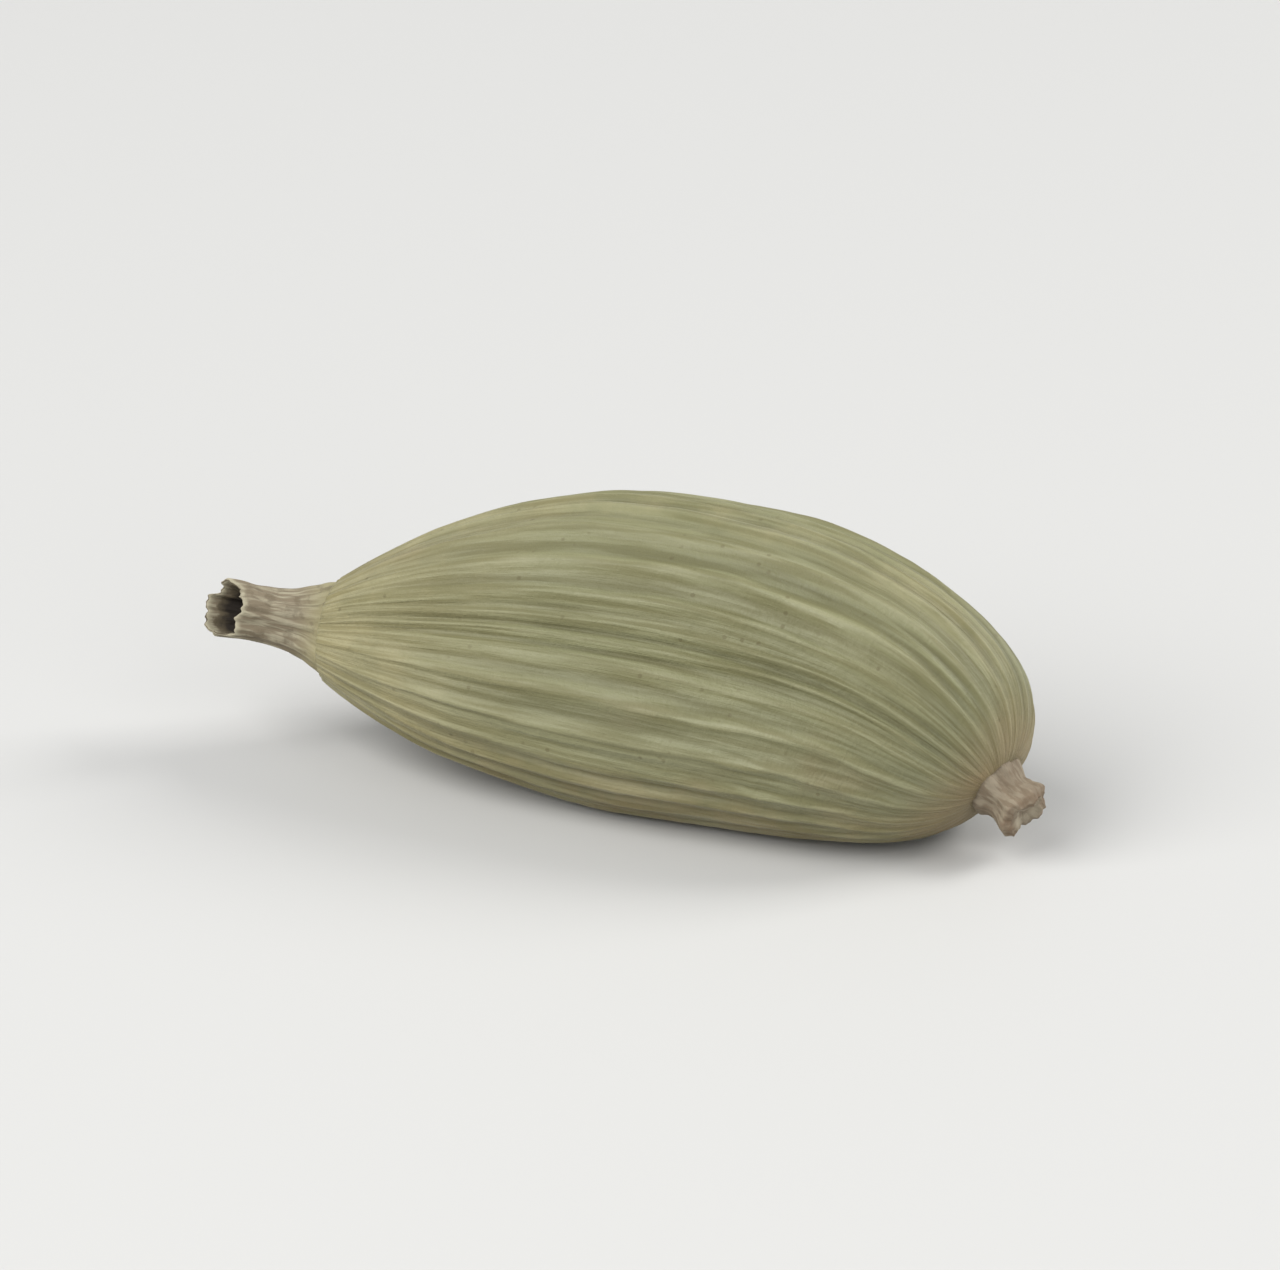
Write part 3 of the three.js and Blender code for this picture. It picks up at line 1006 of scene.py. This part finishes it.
    def surface(self) -> tuple[Array, dict[str, Array]]:
        """Works out the whole husk over a grid of places along it and angles round it.

        Each ring is a circle stretched to the husk's width and height, with three blunt corners, a slow
        swell, the ribs and a furrow in either upper face. Its place on the spine brings it to the right
        height, a lean turns the last rings square to the stalk, and what lies below the table top is
        flattened onto it with a soft edge. The relief fades on the settled face and at both ends.

        Returns:
            The rings in millimetres, and the values that the finish reads: relief, ridge, along and flow.
        """
        noise = RingNoise(2711)
        share = np.linspace(0.0, 1.0, self.rows)[:, None]
        turn = (TAU * np.arange(self.ribs * self.samples) / (self.ribs * self.samples))[None, :]
        x, thickness = self.station(share)
        side, height = self.spine(x)
        shape = ease(0.0, self.start_round, share) * ease(0.0, self.end_round, 1.0 - share)
        angle = turn + waves(self.spacing, turn) + self.twist * (share - 0.5)
        fine, ribs = self.relief(turn, share, x, noise)
        settled = bell(wrap_angle(angle + math.pi / 2.0), self.settled_spread)
        settled = settled * bell(x - self.widest, self.settled_length)
        from_ridge = angle - math.pi / 2.0
        corners = self.triangle * np.cos(self.faces * from_ridge)
        corners = corners - self.ridge_blunt * np.cos(2.0 * self.faces * from_ridge)
        swell = shape * (1.0 - settled) * waves(self.swells, angle, x)
        mean = thickness * (1.0 + shape * corners + swell)
        half_face = math.pi / self.faces
        furrow = bell(wrap_angle(from_ridge - half_face), self.furrow_spread)
        furrow = furrow + bell(wrap_angle(from_ridge + half_face), self.furrow_spread)
        gathered = thickness**self.gather * (1.0 - settled)
        raised = gathered * (fine - self.furrow_depth * furrow) - thickness * self.dimples(turn, x, noise)
        across = np.cos(angle) * (mean * self.half_width + raised)
        up = np.sin(angle) * (mean * self.half_height + raised)
        lean = ease(self.lean_from, 1.0, share)
        ahead = x + lean * (self.seats.lean_up * up + self.seats.lean_side * across)
        z = height + up
        z = 0.5 * (z + np.sqrt(z * z + self.floor_blend**2))
        rings = np.stack(np.broadcast_arrays(ahead, side + across, z), axis=-1)
        values = {
            "relief": ribs * (1.0 - self.smooth_settled * settled),
            "ridge": np.clip(np.cos(self.faces * from_ridge), 0.0, 1.0),
            "along": share,
            "flow": wound(turn, self.flow_length * share),
        }
        return rings, values

    def build(self, finish: HuskFinish) -> bpy.types.Object:
        """Builds and dresses the husk.

        Args:
            finish: The husk's finish.

        Returns:
            The finished piece.
        """
        rings, values = self.surface()
        first = np.array([self.seats.start, 0.0, self.seats.start_height])
        last = np.array([self.seats.end, 0.0, self.seats.end_height])
        return closed_piece("ribbed_husk", finish.make(), rings, first, last, **values)


@dataclass
class FlowerTube:
    """The dry remnant of the flower tube: a creased, bent, thin-walled tube with a torn open mouth."""

    seats: Seats
    columns: int = 192
    outer_rows: int = 72
    inner_rows: int = 44
    root: float = 1.42
    waist: float = 0.72
    waist_at: float = 0.7
    mouth: float = 0.76
    wall: float = 0.26
    rim_wall: float = 0.08
    bore_depth: float = 1.8
    sunk: float = 0.35
    rise: float = 0.70
    rise_power: float = 1.5
    swing: float = 1.25
    swing_power: float = 1.6
    set_back: float = 0.12
    slant: float = 0.28
    slant_angle: float = 2.5
    torn_from: float = 0.55
    unevenness: float = 0.035
    creases_from: float = 0.2
    wall_full: float = 0.5
    bore_shade_full: float = 0.45
    rim_reach: float = 1.010
    rim_steps: tuple[float, float] = (0.3, 0.7)
    flow_length: float = 2.0
    creases: tuple[Wave, ...] = (Wave(0.085, 5, 2.2), Wave(0.030, 11, 1.6), Wave(0.014, 23, 0.4))
    ragged: tuple[Wave, ...] = (
        Wave(0.075, 6, 1.6),
        Wave(0.060, 4, 3.5),
        Wave(0.028, 15, 0.3),
        Wave(0.014, 29, 1.1),
    )

    def radius(self, share: Array) -> Array:
        """Returns the outer radius: a neck that narrows in a parabola to a waist, then a flared mouth."""
        neck = mix(self.waist, self.root, (1.0 - np.clip(share / self.waist_at, 0.0, 1.0)) ** 2)
        return neck + (self.mouth - self.waist) * ease(self.waist_at, 1.0, share)

    def axes(self, share: Array) -> Axes:
        """Works out the bent axis and its direction.

        The tube runs out along -X. It rises and swings aside with powers of its reach, and the direction is
        the slope of that line.

        Args:
            share: Place along the tube, from 0 at the husk to 1 at the mouth.

        Returns:
            The axes at each place.
        """
        s = np.clip(share, 0.0, None)
        reach = self.seats.tube_reach
        places = (
            self.seats.start - share * reach,
            -self.swing * s**self.swing_power,
            self.seats.start_height + self.rise * s**self.rise_power,
        )
        slopes = (
            np.full_like(s, -reach),
            -self.swing * self.swing_power * s ** (self.swing_power - 1.0),
            self.rise * self.rise_power * s ** (self.rise_power - 1.0),
        )
        return Axes(np.stack(places, axis=-1), np.stack(slopes, axis=-1))

    def ring(self, share: Array, radius: Array, angle: Array, noise: Array | float) -> Array:
        """Places points of the tube, creased away from the husk and with its mouth torn aslant.

        Args:
            share: Place along the tube, with a last axis of 1.
            radius: Radius before the creases.
            angle: Angle round the tube.
            noise: Small random change of the radius, as a share of it.

        Returns:
            The points in millimetres.
        """
        r = radius * (1.0 + ease(0.0, self.creases_from, share) * waves(self.creases, angle) + noise)
        edge = waves(self.ragged, angle) - self.set_back - self.slant * np.cos(angle - self.slant_angle)
        out = ease(self.torn_from, 1.0, share) * edge
        return self.axes(share).point(out, np.cos(angle) * r, np.sin(angle) * r)

    def build(self, finish: TubeFinish) -> bpy.types.Object:
        """Builds and dresses the flower tube: its outside, a rounded rim and the bore, joined at the mouth.

        Args:
            finish: The tube's finish.

        Returns:
            The finished piece.
        """
        noise = RingNoise(1907)
        reach = self.seats.tube_reach
        angle = (TAU * np.arange(self.columns) / self.columns)[None, :]
        outside = np.linspace(-self.sunk / reach, 1.0, self.outer_rows)[:, None]
        inside = np.linspace(1.0, 1.0 - self.bore_depth / reach, self.inner_rows)[:, None]
        rough = self.unevenness * noise.field(angle, np.clip(outside, 0.0, 1.0), 24, 9)
        wall = mix(self.rim_wall, self.wall, ease(0.0, self.wall_full, 1.0 - inside))
        rim, rim_radius = np.array([[self.rim_reach]]), self.radius(np.array([[1.0]]))
        rim_radii = [rim_radius - step * self.rim_wall for step in self.rim_steps]
        rings = np.concatenate([
            self.ring(outside, self.radius(outside), angle, rough),
            *[self.ring(rim, radius, angle, rough[-1:]) for radius in rim_radii],
            self.ring(inside, self.radius(np.maximum(inside, self.waist_at)) - wall, angle, rough[-1:]),
        ])[::-1]
        share = np.concatenate([outside, rim, rim, inside])[::-1]
        # Painted shade: darker the further a point lies inside the bore.
        bore_shade = ease(0.0, self.bore_shade_full, 1.0 - inside)
        return closed_piece(
            "torn_flower_tube",
            finish.make(),
            rings,
            rings[0].mean(axis=0),
            rings[-1].mean(axis=0),
            along=share,
            inside=np.concatenate([0.0 * outside, 0.0 * rim, 0.1 * rim, bore_shade])[::-1],
            flow=wound(angle, self.flow_length * share),
        )


@dataclass
class StalkStub:
    """The short broken end of the stalk: a fibrous stub with an uneven, hollowed break."""

    seats: Seats
    columns: int = 144
    side_rows: int = 48
    end_rows: int = 26
    root: float = 0.84
    waist: float = 0.66
    waist_at: float = 0.4
    end: float = 0.80
    end_at: float = 0.85
    worn: float = 0.16
    hollow: float = 0.16
    sunk: float = 0.30
    set_back: float = 0.09
    last_ring: float = 0.06
    grain: float = 0.03
    lip: float = 0.05
    lip_at: float = 0.30
    lip_spread: float = 0.10
    pitting: float = 0.05
    flow_length: float = 2.0
    fibres: tuple[Wave, ...] = (Wave(0.055, 7, 2.0), Wave(0.030, 4, 3.6), Wave(0.016, 19, 0.2))
    broken: tuple[Wave, ...] = (Wave(0.09, 3, 2.4), Wave(0.026, 11, 0.5), Wave(0.012, 23, 1.9))

    def radius(self, share: Array) -> Array:
        """Works out the radius: a waist, a flare to the broken end and a worn rim.

        Args:
            share: Place along the stub, from 0 at the husk to 1 at the break.

        Returns:
            The radius in millimetres, before the fibres.
        """
        to_waist = mix(self.root, self.waist, ease(0.0, self.waist_at, share))
        to_end = mix(self.waist, self.end, ease(self.waist_at, self.end_at, share))
        worn = 1.0 - self.worn * ease(self.end_at, 1.0, share)
        return np.where(share < self.waist_at, to_waist, to_end) * worn

    def build(self, finish: StalkFinish) -> bpy.types.Object:
        """Builds and dresses the stalk stub.

        Rings run along its side and then inwards over the break, where core goes from 0 at the rim to 1 in
        the middle. The break is torn by waves, hollowed towards the middle round a low lip, and pitted.

        Args:
            finish: The stalk's finish.

        Returns:
            The finished piece.
        """
        noise = RingNoise(4409)
        seats = self.seats
        angle = (TAU * np.arange(self.columns) / self.columns)[None, :]
        side = np.linspace(-self.sunk / seats.stub_reach, 1.0, self.side_rows)[:, None]
        inward = np.linspace(1.0, self.last_ring, self.end_rows + 1)[1:, None]
        share = np.concatenate([side, np.ones_like(inward)])
        scale = np.concatenate([np.ones_like(side), inward])
        core = 1.0 - scale
        held = np.clip(share, 0.0, 1.0)
        grain = 1.0 + waves(self.fibres, angle) + self.grain * noise.field(angle, held, 30, 8)
        r = self.radius(share) * grain * scale
        torn = held**3 * (waves(self.broken, angle) * scale - self.set_back)
        cup = self.lip * bell(core - self.lip_at, self.lip_spread) - self.hollow * ease(0.1, 0.9, core)
        pits = self.pitting * noise.field(angle, core, 16, 7) * ease(0.05, 0.3, core) * scale
        out = share * seats.stub_reach + torn + cup * (core > 0.0) + pits
        axes = Axes(
            np.array([seats.end, 0.0, seats.end_height]),
            np.array([1.0, -seats.lean_side, -seats.lean_up]),
        )
        rings = axes.point(out, np.cos(angle) * r, np.sin(angle) * r)
        return closed_piece(
            "broken_stalk",
            finish.make(),
            rings,
            rings[0].mean(axis=0),
            rings[-1].mean(axis=0),
            along=share,
            core=core,
            flow=wound(angle, self.flow_length * share, scale),
        )


# The studio


def direction(azimuth: float, elevation: float) -> Vector:
    """Works out the direction from the pod to a place round it.

    Args:
        azimuth: Degrees from the front of the pod, -Y, towards +X.
        elevation: Degrees above the table.

    Returns:
        The direction, of length 1.
    """
    a, e = math.radians(azimuth), math.radians(elevation)
    return Vector((math.sin(a) * math.cos(e), -math.cos(a) * math.cos(e), math.sin(e)))


@dataclass
class Studio:
    """Pale table top, soft lights and the camera."""

    azimuth: float = 21.0
    elevation: float = 25.0
    distance: float = 0.19
    sensor: float = 36.0
    lens: float = 200.0
    floor_half: float = 0.6
    floor_colour: Colour = srgb(191, 190, 187)
    sky_colour: Colour = (0.92, 0.95, 1.0, 1.0)
    sky_strength: float = 0.44

    def floor(self) -> bpy.types.Object:
        """Lays a plain pale table top at the height that the pod rests on.

        Returns:
            The floor.
        """
        half = self.floor_half
        corners = [(-half, -half, 0.0), (half, -half, 0.0), (half, half, 0.0), (-half, half, 0.0)]
        mesh = bpy.data.meshes.new("table_top")
        mesh.from_pydata(corners, [], [(0, 1, 2, 3)])
        thing = bpy.data.objects.new("table_top", mesh)
        bpy.context.scene.collection.objects.link(thing)
        material = bpy.data.materials.new("pale_table_top")
        material.use_nodes = True
        shader = material.node_tree.nodes["Principled BSDF"]
        shader.inputs["Base Color"].default_value = self.floor_colour
        shader.inputs["Roughness"].default_value = 0.55
        shader.inputs["Specular IOR Level"].default_value = 0.3
        mesh.materials.append(material)
        thing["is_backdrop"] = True
        return thing

    def light(self, name: str, back: Vector, distance: float, size: float, power: float) -> None:
        """Hangs one square soft light that faces the pod.

        Args:
            name: Name of the light.
            back: Direction from the pod to the light.
            distance: Metres from the pod.
            size: Side of the square, in metres.
            power: Watts.
        """
        lamp = bpy.data.lights.new(name, "AREA")
        lamp.shape, lamp.size, lamp.energy = "SQUARE", size, power
        thing = bpy.data.objects.new(name, lamp)
        thing.location = back * distance
        thing.rotation_euler = (-back).to_track_quat("-Z", "Y").to_euler()
        bpy.context.scene.collection.objects.link(thing)

    def lights(self) -> None:
        """Hangs the key, the fill and the back light, and sets the pale surroundings."""
        self.light("key_light", direction(-36.0, 45.0), 0.45, 0.38, 2.4)
        self.light("fill_light", direction(58.0, 28.0), 0.55, 0.40, 0.9)
        self.light("back_light", direction(128.0, 36.0), 0.50, 0.22, 1.85)
        world = bpy.data.worlds.new("pale_surroundings")
        world.use_nodes = True
        sky = world.node_tree.nodes["Background"]
        sky.inputs["Color"].default_value = self.sky_colour
        sky.inputs["Strength"].default_value = self.sky_strength
        bpy.context.scene.world = world

    def camera(self) -> None:
        """Sets the camera at the photograph's angle, looking down on the pod with its stalk end nearer."""
        data = bpy.data.cameras.new("camera")
        data.sensor_width, data.lens = self.sensor, self.lens
        thing = bpy.data.objects.new("camera", data)
        low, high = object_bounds()
        back = direction(self.azimuth, self.elevation)
        thing.location = (low + high) / 2.0 + back * self.distance
        thing.rotation_euler = (-back).to_track_quat("-Z", "Y").to_euler()
        data.clip_start, data.clip_end = 0.01, 10.0
        bpy.context.scene.collection.objects.link(thing)
        bpy.context.scene.camera = thing


def place(piece: bpy.types.Object, node: str, slot: str) -> None:
    """Puts a piece in a node's stead and logs it.

    Args:
        piece: The finished piece.
        node: The frame's node that it stands for.
        slot: Name of a material slot; not used.
    """
    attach(piece, BODY)
    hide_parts(node)
    LOG.info("%s stands for %s with %d faces", piece.name, node, len(piece.data.polygons))


def main() -> None:
    """Builds the pod and the studio, and logs the frame's nodes and each piece's faces."""
    logging.basicConfig(level=logging.INFO, format="%(name)s: %(message)s")
    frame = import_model()
    LOG.info("frame with the nodes %s", ", ".join(sorted(frame["nodes"])))
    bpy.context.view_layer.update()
    studio = Studio()
    studio.camera()
    seats = Seats()
    effects = SharedEffects()
    husk = Husk(seats).build(HuskFinish(effects, "papery_husk", 0.46, 0.66))
    place(husk, "husk", "husk")
    tube = FlowerTube(seats).build(TubeFinish(effects, "dry_flower_tube", 0.62, 0.88))
    place(tube, "calyx_tube", "dry_flower_tube")
    stub = StalkStub(seats).build(StalkFinish(effects, "dry_stalk", 0.66, 0.90))
    place(stub, "stalk_stub", "dry_stalk")
    studio.floor()
    studio.lights()
    bpy.context.scene.view_settings.view_transform = "Standard"


if __name__ == "__main__":
    main()
